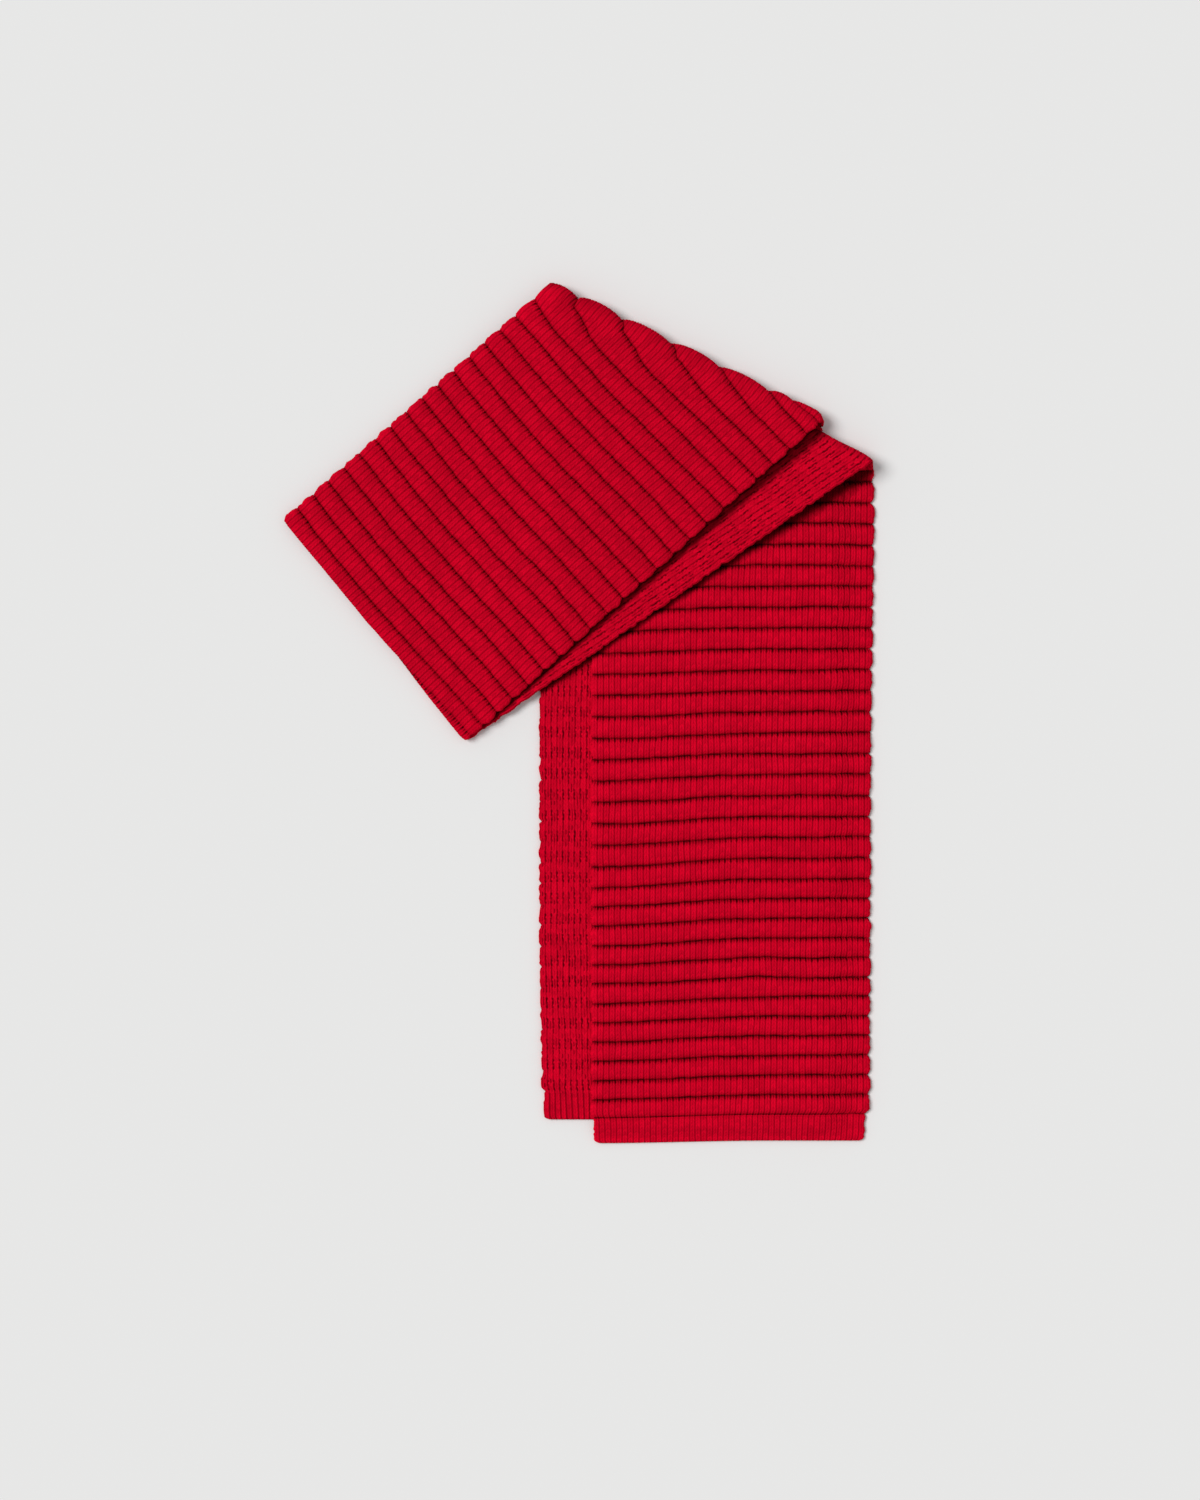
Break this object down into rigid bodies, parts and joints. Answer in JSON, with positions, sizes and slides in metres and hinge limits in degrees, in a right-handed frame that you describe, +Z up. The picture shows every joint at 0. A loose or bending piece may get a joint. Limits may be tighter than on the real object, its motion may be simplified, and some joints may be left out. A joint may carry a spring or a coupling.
{
  "type": "knit scarf",
  "caption": "Long knit scarf with raised cross ribs and plain end bands, folded in half, laid flat and turned over on a slant.",
  "frame": {"origin": "centre of the footprint of the folded scarf, on the surface it lies on", "axes": "+Z up from the surface, +Y along the straight ends away from their hems, +X to the right with the slanting middle of the scarf to the left"},
  "size_m": [0.511, 0.74, 0.0239],
  "materials": {
    "ribbed_knit": "soft matt red rib knit, right side",
    "smooth_knit": "soft matt red knit, wrong side"
  },
  "bodies": {
    "root": {"back_fall": "smooth_knit", "front_fall": "ribbed_knit", "lower_wrap": "smooth_knit", "upper_wrap": "ribbed_knit", "lower_turn": "smooth_knit", "upper_turn": "ribbed_knit", "end_turn": "ribbed_knit"}
  },
  "joints": []
}
